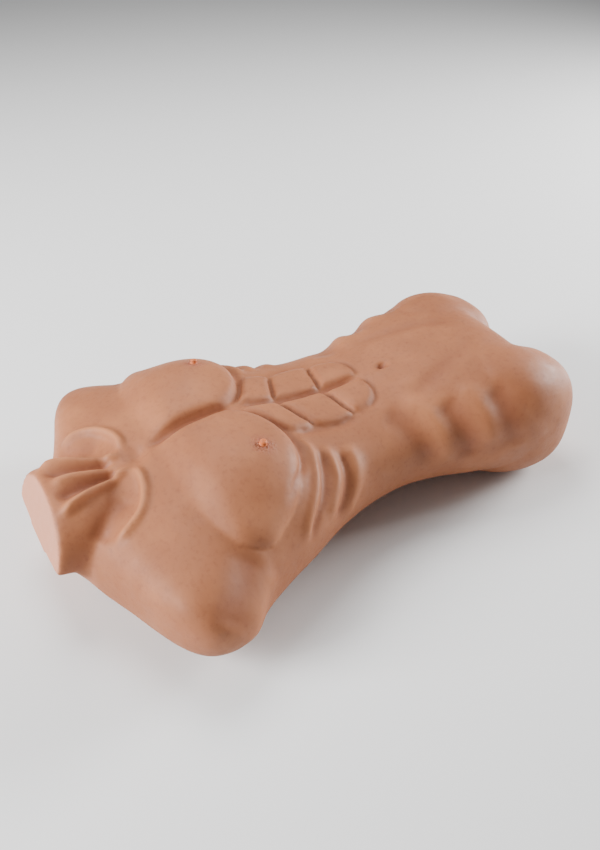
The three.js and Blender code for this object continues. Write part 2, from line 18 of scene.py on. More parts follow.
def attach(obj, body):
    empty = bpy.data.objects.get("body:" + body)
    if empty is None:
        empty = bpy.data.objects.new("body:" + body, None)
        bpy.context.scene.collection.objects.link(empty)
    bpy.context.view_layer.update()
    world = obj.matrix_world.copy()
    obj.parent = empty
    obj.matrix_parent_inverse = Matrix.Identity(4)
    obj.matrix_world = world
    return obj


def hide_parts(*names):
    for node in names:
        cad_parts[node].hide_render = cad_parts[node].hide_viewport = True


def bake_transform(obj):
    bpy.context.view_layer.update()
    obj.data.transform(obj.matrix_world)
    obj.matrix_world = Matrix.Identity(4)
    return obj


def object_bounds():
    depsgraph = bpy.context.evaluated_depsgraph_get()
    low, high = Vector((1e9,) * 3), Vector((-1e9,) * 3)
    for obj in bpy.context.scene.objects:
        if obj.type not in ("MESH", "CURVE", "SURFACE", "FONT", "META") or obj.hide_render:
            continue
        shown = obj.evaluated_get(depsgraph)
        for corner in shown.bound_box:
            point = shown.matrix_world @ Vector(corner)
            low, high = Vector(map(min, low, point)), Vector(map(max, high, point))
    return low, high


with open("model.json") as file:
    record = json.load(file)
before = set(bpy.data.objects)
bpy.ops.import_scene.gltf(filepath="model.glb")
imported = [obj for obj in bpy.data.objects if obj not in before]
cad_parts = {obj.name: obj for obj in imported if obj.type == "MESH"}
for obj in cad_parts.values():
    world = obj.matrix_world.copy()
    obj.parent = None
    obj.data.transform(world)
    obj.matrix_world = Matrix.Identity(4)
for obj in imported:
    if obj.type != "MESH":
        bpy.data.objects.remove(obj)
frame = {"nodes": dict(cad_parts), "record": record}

bl_info = {
    "name": "Torso mannequin",
    "version": (1, 0, 0),
    "blender": (4, 5, 0),
    "location": "View3D > Sidebar > Mannequin",
    "description": "Dresses the torso mannequin's frame with its skin, foam and finishes",
    "category": "Object",
}

CAD_LOW, CAD_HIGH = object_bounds()
MM = 0.001
NEARLY_NOTHING = 1e-9
DOWN = Vector((0, 0, -1))


def spot(across, along, up=0.0):
    """A place given in millimetres as a point in the frame."""
    return Vector((across * MM, CAD_LOW[1] + along * MM, up * MM))


# ---- The skin's form ----------------------------------------------------------------------------------

# Along, half width, top, bottom, height of the widest point, roundness of the top and of the bottom.
TRUNK = [
    (22, 66, 84, 56, 68, 2.2, 2.2),
    (34, 78, 98, 36, 70, 2.3, 2.3),
    (46, 100, 108, 16, 72, 2.4, 2.4),
    (60, 136, 114, 7, 73, 2.5, 2.5),
    (72, 173, 119, 2, 77, 2.6, 2.4),
    (85, 200, 124, 0, 76, 2.6, 2.5),
    (100, 216, 130, 0, 72, 2.5, 2.6),
    (118, 222, 137, 0, 69, 2.3, 2.6),
    (137, 220, 143, 0, 66, 2.1, 2.6),
    (155, 210, 149, 0, 64, 2.0, 2.6),
    (175, 193, 153, 0, 65, 2.1, 2.7),
    (210, 173, 155, 1, 68, 2.2, 2.8),
    (255, 155, 151, 5, 76, 2.4, 2.8),
    (300, 135, 142, 11, 79, 2.5, 2.7),
    (350, 121, 138, 18, 80, 2.5, 2.6),
    (400, 118, 141, 21, 84, 2.5, 2.5),
    (450, 125, 150, 15, 90, 2.5, 2.5),
    (500, 138, 159, 6, 94, 2.5, 2.5),
    (545, 147, 163, 0, 95, 2.4, 2.5),
    (578, 146, 160, 0, 90, 2.3, 2.6),
    (592, 140, 156, 0, 86, 2.4, 3.0),
    (602, 130, 150, 1, 82, 2.6, 3.4),
    (610, 112, 139, 5, 76, 2.6, 3.4),
]

NECK = [
    (0, 71, 132, 70, 80, 2.1, 4.0),
    (20, 72, 134, 64, 80, 2.1, 3.6),
    (40, 74, 134, 50, 80, 2.1, 3.0),
    (60, 77, 131, 34, 78, 2.1, 2.6),
    (80, 80, 127, 22, 77, 2.1, 2.5),
    (100, 82, 123, 14, 76, 2.1, 2.4),
]

# Along, then the middle across, half width, top, bottom, height of the widest point, roundness of both.
THIGH = [
    (500, 58, 58, 140, 20, 85, 2.2, 2.4),
    (530, 65, 70, 158, 6, 90, 2.3, 2.5),
    (560, 72, 74, 163, 0, 90, 2.3, 2.5),
    (588, 77, 68, 160, 0, 88, 2.3, 2.7),
    (612, 79, 61, 151, 4, 84, 2.4, 2.9),
    (631, 78, 53, 142, 12, 81, 2.5, 3.0),
    (642, 77, 45, 133, 20, 79, 2.5, 2.6),
    (648, 76, 36, 123, 29, 77, 2.4, 2.2),
    (650, 76, 24, 108, 42, 76, 2.2, 2.2),
]

NECK_LEAN = math.radians(16)  # the cut face looks slightly up
NECK_LENGTH = 60

RING_POINTS = 72
RING_STEP = 6.0  # along the body, between two rings of the loft
MELT_SMOOTHING = 6  # rounds of smoothing over the joins between trunk, neck and thighs
LAST_SMOOTHING = 0.4  # how far the last round of smoothing moves the carved skin
CURVE_STEPS = 6  # between two points of a drawn line
ABOVE = 300  # well over the body, where rays down to the skin start


def neck_shift(along, up):
    """How far the lean of the neck's cut moves a point along the body."""
    return math.tan(NECK_LEAN) * (up - NECK[0][3]) * max(0, 1 - along / NECK_LENGTH)


def smooth_curve(rows, knots, places):
    """The rows, each known at its knot, as smooth curves read at the given places."""
    slope = np.gradient(rows, knots, axis=0)
    k = np.clip(np.searchsorted(knots, places, side="right") - 1, 0, len(knots) - 2)
    span = (knots[k + 1] - knots[k])[:, None]
    t = (places[:, None] - knots[k][:, None]) / span
    first = (2 * t**3 - 3 * t**2 + 1) * rows[k] + (t**3 - 2 * t**2 + t) * span * slope[k]
    second = (3 * t**2 - 2 * t**3) * rows[k + 1] + (t**3 - t**2) * span * slope[k + 1]
    return first + second


def smooth_rows(table, step):
    """The table's rows as smooth curves, sampled about every step along."""
    rows = np.array(table, float)
    along = rows[:, 0]
    count = max(2, round((along[-1] - along[0]) / step) + 1)
    return smooth_curve(rows, along, np.linspace(along[0], along[-1], count))


def section(middle, half, top, bottom, widest, round_top, round_bottom):
    """Points across and up round one section, which is a rounded oval with two halves of its own."""
    turn = np.linspace(0, 2 * math.pi, RING_POINTS, endpoint=False)
    cosine, sine = np.cos(turn), np.sin(turn)
    upper = sine >= 0
    power = np.where(upper, 2 / round_top, 2 / round_bottom)
    across = middle + half * np.sign(cosine) * np.abs(cosine) ** power
    rise = np.where(upper, top - widest, widest - bottom)
    return across, widest + rise * np.sign(sine) * np.abs(sine) ** power


def loft(bm, table, with_middle=False):
    """Rings bridged along the body, and closed at both ends."""
    rings = []
    for row in smooth_rows(table, RING_STEP):
        along, *values = row
        across, up = section(*values) if with_middle else section(0, *values)
        circle = bmesh.ops.create_circle(bm, radius=1, segments=RING_POINTS)["verts"]
        for vert, x, z in zip(circle, across, up):
            vert.co = spot(x, along + neck_shift(along, z), z)
        rings.append(list({edge for vert in circle for edge in vert.link_edges}))
    for before, after in zip(rings, rings[1:]):
        bmesh.ops.bridge_loops(bm, edges=before + after)
    for end in (rings[0], rings[-1]):
        bmesh.ops.edgeloop_fill(bm, edges=end)


def mesh_object(name, bm):
    mesh = bpy.data.meshes.new(name)
    bm.to_mesh(mesh)
    bm.free()
    piece = bpy.data.objects.new(name, mesh)
    bpy.context.scene.collection.objects.link(piece)
    return piece


def apply_modifiers(piece):
    """Makes the piece's mesh what its modifiers show, and leaves none on it."""
    depsgraph = bpy.context.evaluated_depsgraph_get()
    mesh = bpy.data.meshes.new_from_object(piece.evaluated_get(depsgraph))
    piece.modifiers.clear()
    piece.data = mesh
    piece.data.name = piece.name


def smooth(piece, rounds, factor=0.5):
    bm = bmesh.new()
    bm.from_mesh(piece.data)
    for _ in range(rounds):
        bmesh.ops.smooth_vert(
            bm, verts=bm.verts, factor=factor, use_axis_x=True, use_axis_y=True, use_axis_z=True
        )
    bm.to_mesh(piece.data)
    bm.free()


def skin_form():
    """The torso without its fine forms: trunk and thigh stubs, melted into one closed skin."""
    bm = bmesh.new()
    loft(bm, TRUNK)
    loft(bm, NECK)
    loft(bm, THIGH, with_middle=True)
    mirrored = [(along, -middle, *rest) for along, middle, *rest in THIGH]
    loft(bm, mirrored, with_middle=True)
    bmesh.ops.recalc_face_normals(bm, faces=bm.faces)
    piece = mesh_object("skin", bm)
    melt = piece.modifiers.new("melt", "REMESH")
    melt.mode = "VOXEL"
    melt.voxel_size = bpy.context.scene.torso_skin.grain
    apply_modifiers(piece)
    smooth(piece, MELT_SMOOTHING)
    return piece


# ---- The skin's fine forms ----------------------------------------------------------------------------

# Each line has its points across and along (and up, on the flanks), then its width, then a ridge's height or
# a groove's depth. A line off the middle is made on both sides.
RIDGES = [
    # Neck: the two muscles that run to the breastbone, and the throat between them.
    ([(42, 20), (33, 42), (23, 68), (16, 92), (13, 110)], 5.2, 8.5),
    ([(0, 24), (0, 50), (0, 75), (0, 100)], 5.5, 6),
    # Collar bones.
    ([(12, 110), (36, 112), (60, 106), (76, 95), (84, 83), (88, 70), (86, 58)], 5, 6.5),
    # Ribs.
    ([(66, 279), (88, 282), (112, 276, 130), (134, 262, 120), (153, 241, 102), (160, 230, 84)], 6, 3.6),
    ([(80, 299), (102, 302, 129), (123, 296, 115), (138, 284, 104), (149, 270, 88)], 6, 3.6),
    ([(84, 326), (106, 329, 120), (122, 323, 104), (133, 308, 82), (136, 300, 66)], 8, 3.2),
    # Hip bone, and the fold next to it.
    ([(58, 420), (80, 432), (105, 440, 126), (119, 443, 110), (125, 446, 90), (126, 446, 70)], 11, 3.0),
    ([(80, 486), (98, 492, 146), (123, 496, 131), (135, 497, 112), (139, 497, 88)], 13, 2.6),
    # Front edge of the armpit.
    ([(174, 190, 90), (188, 166, 84), (198, 148, 66), (202, 138, 46)], 16, 2.4),
]
GROOVES = [
    # Between the neck's muscles, and behind the collar bones.
    ([(22, 22), (17, 50), (11, 80), (8, 96)], 7.5, 7),
    ([(76, 50, 100), (62, 66, 112), (46, 92)], 12, 3),
    # Breastbone and the line down the middle of the stomach.
    ([(0, 128), (0, 160), (0, 200), (0, 238)], 6, 6),
    ([(0, 236), (0, 287), (0, 350), (0, 408)], 3.6, 5.5),
    # Under the chest muscles, and across the stomach.
    ([(4, 224), (20, 250), (52, 266), (82, 270), (106, 262), (128, 244), (150, 219)], 4, 3.2),
    ([(2, 286), (20, 294), (38, 301), (56, 308)], 3.2, 2.6),
    ([(2, 347), (21, 354), (38, 357), (56, 362)], 3.2, 2.6),
    ([(2, 401), (18, 404), (32, 402), (47, 394), (54, 380)], 4, 1.8),
    ([(60, 280), (61, 300), (62, 323), (62, 345), (56, 366)], 5, 2),
    # Between the ribs.
    ([(88, 295), (109, 285, 129), (134, 271, 115), (150, 251, 100), (158, 238, 82)], 6, 3.4),
    ([(92, 314), (106, 315, 123), (118, 312, 115), (134, 299, 94), (142, 284, 76)], 6, 3.6),
    # Round the hip bone.
    ([(64, 392), (78, 400, 134), (105, 410, 120), (117, 417, 103), (121, 420, 80)], 15, 3.0),
    ([(86, 456), (104, 462, 134), (118, 465, 124), (131, 471, 98), (134, 474, 74)], 15, 4.0),
    ([(100, 512), (114, 517, 145), (132, 521, 128), (144, 526, 104), (147, 528, 80)], 17, 3.6),
    # From the hip bones down to the groin.
    ([(66, 425), (55, 468), (40, 515), (20, 556)], 10, 2.2),
    # Between the chest and the arm stub.
    ([(212, 118, 76), (202, 134, 90), (186, 154, 100), (166, 174, 110)], 19, 3.4),
    # The spine, down the back and between the seat's halves.
    ([(0, 90, 0), (0, 180, 0), (0, 290, 8), (0, 400, 20), (0, 470, 10), (0, 540, 0), (0, 596, 4)], 15, 6),
]

# Pads of muscle: their outlines across and along, the width of their rounded edges, and their heights.
CHEST_EDGE = 17
CHEST_HEIGHT = 9
CHEST_FADE = (132, 175)  # the chest pads rise from the collar bones over this stretch
CHEST = [
    (6, 140), (6, 190), (6, 226), (20, 245), (50, 260), (80, 264), (108, 256), (133, 240), (153, 214),
    (166, 188), (160, 165), (138, 150), (100, 140), (50, 134),
]
STOMACH_EDGE = 13
STOMACH_HEIGHT = 5.5
STOMACH = [
    [
        (5, 244), (25, 255), (48, 267), (57, 276), (58, 298), (53, 305), (38, 299), (20, 292), (5, 285),
        (4, 264),
    ],
    [
        (5, 291), (20, 296), (38, 303), (53, 310), (59, 326), (58, 346), (53, 358), (38, 354), (20, 351),
        (5, 346), (4, 318),
    ],
    [
        (5, 353), (20, 355), (38, 358), (51, 363), (51, 379), (45, 392), (32, 400), (17, 402), (5, 398),
        (4, 375),
    ],
]

NAVEL = (0, 434)
NAVEL_SHADE_REACH = (5, 7)  # of its painted shade, which darkens the pit
NIPPLE = (87, 227)
AREOLA_REACH = (12, 12)
AREOLA_FALL = 3  # how sharply its edge falls off
# The nipples' outline: out from the middle and up from the skin.
NIPPLE_PROFILE = [
    (0, -3), (4.4, -2.4), (4.9, -0.4), (3.9, 0.7), (3.7, 2), (4.1, 3.2), (3.6, 4.4), (2, 5.1), (0, 4.9),
]
NIPPLE_SIDES = 20

# Soft swells: their middle, their reach across and along, and their height, which is negative for a hollow.
BROAD_SWELLS = [
    ((86, 212), (56, 50), 14),  # the chest under the nipples
    ((0, 118), (13, 11), -7),  # the pit of the throat
    ((52, 92), (20, 14), -4),  # over the collar bones
]
NAVEL_SWELLS = [
    (NAVEL, (10, 13), 2),
    (NAVEL, (4.6, 6.6), -9),
]

FRONT = (-0.1, 0.25)  # how far up a place faces, from not on the front at all to wholly on it
LINE_TAPER = 0.18  # the share of a line over which each end fades
FULL_COLOUR = 6  # the height or depth at which a ridge takes its whole painted highlight, or a groove its whole painted shade
CUT_HIGHLIGHT_FACING = (0.7, 0.95)  # how squarely the cut faces the neck's way, where it takes its painted highlight
CUT_HIGHLIGHT_END = (30, 40)  # along, where the painted highlight on the cut ends


def distance_to_line(points, line):
    """Every point's distance to a line of points, and how far along it the nearest place is, from 0 to 1."""
    best = np.full(len(points), np.inf)
    share = np.zeros(len(points))
    spans = np.linalg.norm(np.diff(line, axis=0), axis=1)
    total, done = spans.sum(), 0.0
    for start, end, span in zip(line, line[1:], spans):
        way = (end - start) / span
        t = np.clip((points - start) @ way, 0, span)
        apart = np.linalg.norm(points - start - t[:, None] * way, axis=1)
        nearer = apart < best
        best[nearer] = apart[nearer]
        share[nearer] = (done + t[nearer]) / total
        done += span
    return best, share


def ease(value, low, high):
    """0 below low and 1 above high, with a smooth rise between them."""
    t = np.clip((value - low) / (high - low), 0, 1)
    return t * t * (3 - 2 * t)


def rounded(points):
    """A line's or an outline's points as a smooth curve through them."""
    points = np.array(points, float)
    chord = np.concatenate([[0], np.cumsum(np.linalg.norm(np.diff(points, axis=0), axis=1))])
    places = np.linspace(0, chord[-1], CURVE_STEPS * (len(points) - 1) + 1)
    return smooth_curve(points, chord, places)


class Clay:
    """The skin's vertices in millimetres, while they are pushed out and in."""

    def __init__(self, piece):
        self.piece = piece
        mesh = piece.data
        flat = np.empty(len(mesh.vertices) * 3)
        mesh.vertices.foreach_get("co", flat)
        self.points = flat.reshape(-1, 3) / MM
        self.points[:, 1] -= CAD_LOW[1] / MM
        mesh.vertex_normals.foreach_get("vector", flat)
        self.normals = flat.reshape(-1, 3).copy()
        self.push = np.zeros(len(self.points))
        # Masks of painted shade in the creases and of painted highlight on the ridges.
        self.paint = {name: np.zeros(len(self.points)) for name in ("freckles_and_crease_shade", "flush_and_ridge_highlight")}
        self.tree = BVHTree.FromPolygons(
            [tuple(p) for p in self.points], [tuple(f.vertices) for f in mesh.polygons]
        )

    def on_skin(self, line, side):
        """The line's points, put on the skin: from above, or at the nearest place where up is given."""
        found = []
        for across, along, *up in line:
            if up:
                found.append(self.tree.find_nearest(Vector((across * side, along, up[0])))[0])
            else:
                above = Vector((across * side, along, ABOVE))
                found.append(self.tree.ray_cast(above, DOWN)[0])
        return np.array(found)

    def front(self):
        """How far each point is on the front, from 0 to 1."""
        return ease(self.normals[:, 2], *FRONT)

    def line(self, line, width, height):
        """Raises a ridge along the line, or cuts a groove where the height is negative."""
        in_the_middle = all(point[0] == 0 for point in line)
        for side in (1,) if in_the_middle else (1, -1):
            path = rounded(self.on_skin(line, side))
            apart, share = distance_to_line(self.points, path)
            # Past an end the line is nearest at the end itself, so it fades there as well.
            ends = ease(share, 0, LINE_TAPER) * ease(1 - share, 0, LINE_TAPER)
            amount = np.exp(-((apart / width) ** 2)) * ends
            self.push += height * amount
            # Grooves take painted shade and ridges a painted highlight, by their depth or height.
            self.paint["flush_and_ridge_highlight" if height > 0 else "freckles_and_crease_shade"] += abs(height) / FULL_COLOUR * amount

    def pad(self, outline, edge, height, fade=None):
        """Raises the outline's inside on both sides, with a rounded edge."""
        outline = rounded(outline + outline[:1])
        for side in (1, -1):
            flat = self.points[:, :2] * (side, 1)
            apart, _ = distance_to_line(flat, outline)
            inside = np.zeros(len(flat), bool)
            for (x1, y1), (x2, y2) in zip(outline, np.roll(outline, -1, axis=0)):
                crosses = (y1 > flat[:, 1]) != (y2 > flat[:, 1])
                at = x1 + (flat[:, 1] - y1) * (x2 - x1) / (y2 - y1 if y2 != y1 else NEARLY_NOTHING)
                inside ^= crosses & (flat[:, 0] < at)
            depth = np.clip(apart / edge, 0, 1)
            rise = np.where(inside, np.sqrt(1 - (1 - depth) ** 2), 0) * height * self.front()
            if fade:
                rise *= ease(self.points[:, 1], *fade)
            self.push += rise

    def reach(self, centre, size, fall=2):
        """How near each point on the front is to the centre's place on either side, from 0 to 1."""
        across = (np.abs(self.points[:, 0]) - centre[0]) / size[0]
        along = (self.points[:, 1] - centre[1]) / size[1]
        apart = np.hypot(across, along)
        return np.exp(-(apart**fall)) * self.front()

    def swell(self, centre, size, height):
        self.push += height * self.reach(centre, size)

    def settle(self):
        """Moves the vertices out or in by what was pushed so far, and none below the floor."""
        self.points += self.normals * self.push[:, None]
        self.push[:] = 0
        self.points[:, 2] = np.maximum(self.points[:, 2], 0)
        placed = self.points.copy()
        placed[:, 1] += CAD_LOW[1] / MM
        self.piece.data.vertices.foreach_set("co", (placed * MM).ravel())
        self.piece.data.update()

    def finish(self):
        """Settles the last pushes and stores what was painted as attributes."""
        self.settle()
        for name, values in self.paint.items():
            attribute = self.piece.data.attributes.new(name, "FLOAT", "POINT")
            attribute.data.foreach_set("value", np.clip(values, 0, 1))


def carve(piece):
    """Raises the muscles and cuts the creases."""
    clay = Clay(piece)
    clay.pad(CHEST, CHEST_EDGE, CHEST_HEIGHT, fade=CHEST_FADE)
    for swell in BROAD_SWELLS:
        clay.swell(*swell)
    for outline in STOMACH:
        clay.pad(outline, STOMACH_EDGE, STOMACH_HEIGHT)
    clay.settle()
    # The lines are laid on the new shape.
    clay = Clay(piece)
    for line, width, height in RIDGES:
        clay.line(line, width, height)
    for line, width, depth in GROOVES:
        clay.line(line, width, -depth)
    for swell in NAVEL_SWELLS:
        clay.swell(*swell)
    # Painted shade in the navel's pit.
    clay.paint["navel_shade"] = clay.reach(NAVEL, NAVEL_SHADE_REACH)
    clay.paint["areola"] = clay.reach(NIPPLE, AREOLA_REACH, AREOLA_FALL)
    # Painted highlight on the cut face, where it faces the neck's way.
    clay.paint["cut"] = ease(-clay.normals[:, 1], *CUT_HIGHLIGHT_FACING) * (1 - ease(clay.points[:, 1], *CUT_HIGHLIGHT_END))
    clay.finish()
    smooth(piece, 1, LAST_SMOOTHING)


# ---- Settings -----------------------------------------------------------------------------------------


def tint(name, description, default):
    return bpy.props.FloatVectorProperty(
        name=name, description=description, subtype="COLOR", min=0, max=1, default=default
    )


class SkinSettings(bpy.types.PropertyGroup):
    grain: bpy.props.FloatProperty(
        name="Grain", description="Size of the skin's mesh cells", default=0.0028, unit="LENGTH"
    )
    tone: tint("Tone", "The skin's main colour", (0.375, 0.138, 0.060))
    shade: tint("Shade", "The skin's darker patches", (0.31, 0.108, 0.046))
    # Painted shade for the creases and the navel; also the colour of the random freckles.
    freckles_and_crease_shade: tint("Crease", "The bottoms of the creases", (0.16, 0.045, 0.025))
    # Painted highlight for the ridges, as if warm light shone through thin skin; also the colour of the
    # random flush.
    flush_and_ridge_highlight: tint("Crest", "Thin skin over the ridges", (0.53, 0.205, 0.086))
    # Painted highlight: the neck's cut face coloured lighter, as where the light falls on it.
    cut: tint("Cut", "The neck's cut face", (0.58, 0.25, 0.155))
    areola: tint("Areola", "The skin round the nipples", (0.30, 0.085, 0.05))
    nipple: tint("Nipple", "The cast nipples", (0.66, 0.17, 0.05))


class InsideSettings(bpy.types.PropertyGroup):
    foam: tint("Foam", "The core's soft foam", (0.80, 0.73, 0.55))
    steel: tint("Steel", "The frame's bare steel", (0.42, 0.43, 0.45))
    zinc: tint("Zinc", "The plated bolts and nuts", (0.62, 0.63, 0.60))
    nylon: tint("Nylon", "The hinge's washers", (0.80, 0.78, 0.70))
    stain: tint("Stain", "The steel's darker stains", (0.21, 0.16, 0.13))
    spangle: tint("Spangle", "The plating's yellower grains", (0.52, 0.5, 0.38))
    rubbed_nylon: tint("Rubbed nylon", "The washers where they rub", (0.5, 0.48, 0.43))


class StageSettings(bpy.types.PropertyGroup):
    azimuth: bpy.props.FloatProperty(
        name="Azimuth", description="Camera's turn round the torso", default=60.2
    )
    elevation: bpy.props.FloatProperty(
        name="Elevation", description="Camera's height over the horizon, in degrees", default=37.3
    )
    distance: bpy.props.FloatProperty(
        name="Distance", description="Camera to its target", default=0.99, unit="LENGTH"
    )
    lens: bpy.props.FloatProperty(name="Lens", description="Focal length", default=34.7)
    sky: bpy.props.FloatProperty(name="Sky", description="Strength of the light all round", default=0.22)
    floor: tint("Floor", "The floor's colour", (0.84, 0.84, 0.84))


# ---- Finishes -----------------------------------------------------------------------------------------


class Finish:
    """A material under construction. Its patterns read the piece's own coordinates, in metres."""

    def __init__(self, name):
        self.material = bpy.data.materials.new(name)
        self.material.use_nodes = True
        self.tree = self.material.node_tree
        self.shader = self.tree.nodes["Principled BSDF"]
        self.place = self.tree.nodes.new("ShaderNodeTexCoord").outputs["Object"]

    def set(self, name, value):
        """Sets a number that is the same all over the surface."""
        self.shader.inputs[name].default_value = value

    def link(self, output, name):
        self.tree.links.new(output, self.shader.inputs[name])

    def stretched(self, scale):
        """The coordinates, stretched along each axis by one over its scale."""
        mapping = self.tree.nodes.new("ShaderNodeMapping")
        mapping.inputs["Scale"].default_value = scale
        self.tree.links.new(self.place, mapping.inputs["Vector"])
        return mapping.outputs["Vector"]

    def noise(self, scale, detail=2.0, roughness=0.5, place=None):
        texture = self.tree.nodes.new("ShaderNodeTexNoise")
        texture.inputs["Scale"].default_value = scale
        texture.inputs["Detail"].default_value = detail
        texture.inputs["Roughness"].default_value = roughness
        self.tree.links.new(place or self.place, texture.inputs["Vector"])
        return texture.outputs["Fac"]

    def cells(self, scale, output="Distance"):
        texture = self.tree.nodes.new("ShaderNodeTexVoronoi")
        texture.inputs["Scale"].default_value = scale
        self.tree.links.new(self.place, texture.inputs["Vector"])
        return texture.outputs[output]

    def attribute(self, name):
        node = self.tree.nodes.new("ShaderNodeAttribute")
        node.attribute_name = name
        return node.outputs["Fac"]

    def range(self, value, low=0.0, high=1.0, start=0.0, end=1.0):
        """The value's stretch from start to end, turned into low to high."""
        node = self.tree.nodes.new("ShaderNodeMapRange")
        for name, number in (("From Min", start), ("From Max", end), ("To Min", low), ("To Max", high)):
            node.inputs[name].default_value = number
        self.tree.links.new(value, node.inputs["Value"])
        return node.outputs["Result"]

    def math(self, kind, first, second):
        node = self.tree.nodes.new("ShaderNodeMath")
        node.operation = kind
        for socket, value in zip(node.inputs, (first, second)):
            if isinstance(value, bpy.types.NodeSocket):
                self.tree.links.new(value, socket)
            else:
                socket.default_value = value
        return node.outputs["Value"]

    def mix(self, factor, first, second, blend="MIX"):
        """Two colours mixed. Each may be a colour or another node's output."""
        node = self.tree.nodes.new("ShaderNodeMix")
        node.data_type = "RGBA"
        node.blend_type = blend
        self.tree.links.new(factor, node.inputs["Factor"])
        for socket, value in ((node.inputs[6], first), (node.inputs[7], second)):
            if isinstance(value, bpy.types.NodeSocket):
                self.tree.links.new(value, socket)
            else:
                socket.default_value = (*value, 1)
        return node.outputs[2]

    def bump(self, *layers):
        """Layers of height, each with its depth in metres, one over another."""
        normal = None
        for height, depth in layers:
            node = self.tree.nodes.new("ShaderNodeBump")
            node.inputs["Distance"].default_value = depth
            self.tree.links.new(height, node.inputs["Height"])
            if normal:
                self.tree.links.new(normal, node.inputs["Normal"])
            normal = node.outputs["Normal"]
        self.link(normal, "Normal")


def darker(color, share):
    """The colour at a share of its brightness."""
    return tuple(value * share for value in color)


def skin_finish(settings):
    """Satin cast elastomer: mottled, with painted shade in the creases and the navel, and warm painted
    highlights over the ridges and on the neck's cut face.
    """
    finish = Finish("skin")
    patches = finish.range(finish.noise(scale=7, detail=4, roughness=0.6), start=0.35, end=0.68)
    color = finish.mix(patches, settings.tone, settings.shade)
    freckles = finish.noise(scale=190, detail=3, roughness=0.6)
    color = finish.mix(finish.range(freckles, high=0.4, start=0.52, end=0.8), color, settings.freckles_and_crease_shade)
    flush = finish.noise(scale=23, detail=3)
    color = finish.mix(finish.range(flush, high=0.3, start=0.5, end=0.75), color, settings.flush_and_ridge_highlight)
    # Painted highlight: the ridges drawn lighter and warmer.
    color = finish.mix(finish.range(finish.attribute("flush_and_ridge_highlight"), high=0.55), color, settings.flush_and_ridge_highlight)
    # Painted shade: the creases drawn darker.
    color = finish.mix(finish.range(finish.attribute("freckles_and_crease_shade"), high=0.6), color, settings.freckles_and_crease_shade)
    # Painted shade in the navel's pit.
    navel_shade = finish.range(finish.attribute("navel_shade"), high=0.85, start=0.3)
    color = finish.mix(navel_shade, color, settings.freckles_and_crease_shade)
    # Painted highlight on the neck's cut face.
    color = finish.mix(finish.range(finish.attribute("cut"), high=0.85), color, settings.cut)
    areola = finish.attribute("areola")
    ragged = finish.range(finish.noise(scale=260, detail=4), low=0.2, high=1.1, start=0.3, end=0.7)
    areola_color = finish.range(finish.math("MULTIPLY", areola, ragged), high=0.9)
    finish.link(finish.mix(areola_color, color, settings.areola), "Base Color")
    rubbed = finish.noise(scale=60, detail=4)
    finish.link(finish.range(rubbed, low=0.5, high=0.64, start=0.3, end=0.7), "Roughness")
    finish.set("Subsurface Weight", 0.06)
    finish.set("Subsurface Scale", 0.004)
    finish.set("Subsurface Radius", (1.0, 0.45, 0.25))
    finish.set("Specular IOR Level", 0.3)
    waves = finish.noise(scale=38)
    pores = finish.cells(scale=1500)
    pimples = finish.math("MULTIPLY", finish.cells(scale=420), areola)
    finish.bump((waves, 0.0009), (pores, 0.00009), (pimples, 0.0014))
    return finish.material


def nipple_finish(settings):
    """The skin's elastomer, cast redder and finely spotted."""
    finish = Finish("nipple")
    spots = finish.range(finish.noise(scale=420, detail=3), start=0.35, end=0.65)
    finish.link(finish.mix(spots, settings.nipple, darker(settings.nipple, 0.75)), "Base Color")
    finish.link(finish.range(finish.noise(scale=300), low=0.45, high=0.6), "Roughness")
    finish.set("Subsurface Weight", 0.05)
    finish.set("Subsurface Scale", 0.003)
    finish.set("Specular IOR Level", 0.35)
    finish.bump((finish.cells(scale=1400), 0.00015), (finish.noise(scale=1600), 0.0001))
    return finish.material


def foam_finish(settings):
    """Open-celled foam, a little yellowed, with painted shade in its pits."""
    finish = Finish("foam")
    aged = finish.range(finish.noise(scale=14, detail=4), start=0.35, end=0.7)
    color = finish.mix(aged, settings.foam, darker(settings.foam, 0.78))
    # Painted shade: the foam's pits drawn darker.
    pit_shade = finish.range(finish.cells(scale=900), low=0.35, high=0, end=0.5)
    finish.link(finish.mix(pit_shade, color, darker(settings.foam, 0.5)), "Base Color")
    finish.link(finish.range(finish.noise(scale=80), low=0.85), "Roughness")
    finish.bump((finish.cells(scale=900), 0.0008), (finish.noise(scale=400, detail=4), 0.0005))
    return finish.material


def steel_finish(settings):
    """Bare drawn steel, with the draw marks along it and a few darker stains."""
    finish = Finish("frame_steel")
    stains = finish.range(finish.noise(scale=30, detail=5, roughness=0.65), start=0.5, end=0.75)
    finish.link(finish.mix(stains, settings.steel, settings.stain), "Base Color")
    drawn = finish.noise(scale=60, detail=3, place=finish.stretched((14, 1, 14)))
    finish.link(finish.range(drawn, low=0.28, high=0.5, start=0.3, end=0.7), "Roughness")
    finish.set("Metallic", 1.0)
    finish.bump((drawn, 0.0001), (finish.noise(scale=500, detail=3), 0.00006))
    return finish.material


def zinc_finish(settings):
    """Bright zinc plate with its faint spangle."""
    finish = Finish("zinc_hardware")
    spangle = finish.range(finish.cells(scale=320, output="Color"), high=0.5)
    finish.link(finish.mix(spangle, settings.zinc, settings.spangle), "Base Color")
    finish.link(finish.range(finish.cells(scale=320), low=0.22, high=0.42, end=0.7), "Roughness")
    finish.set("Metallic", 1.0)
    finish.bump((finish.noise(scale=700, detail=3), 0.00007))
    return finish.material


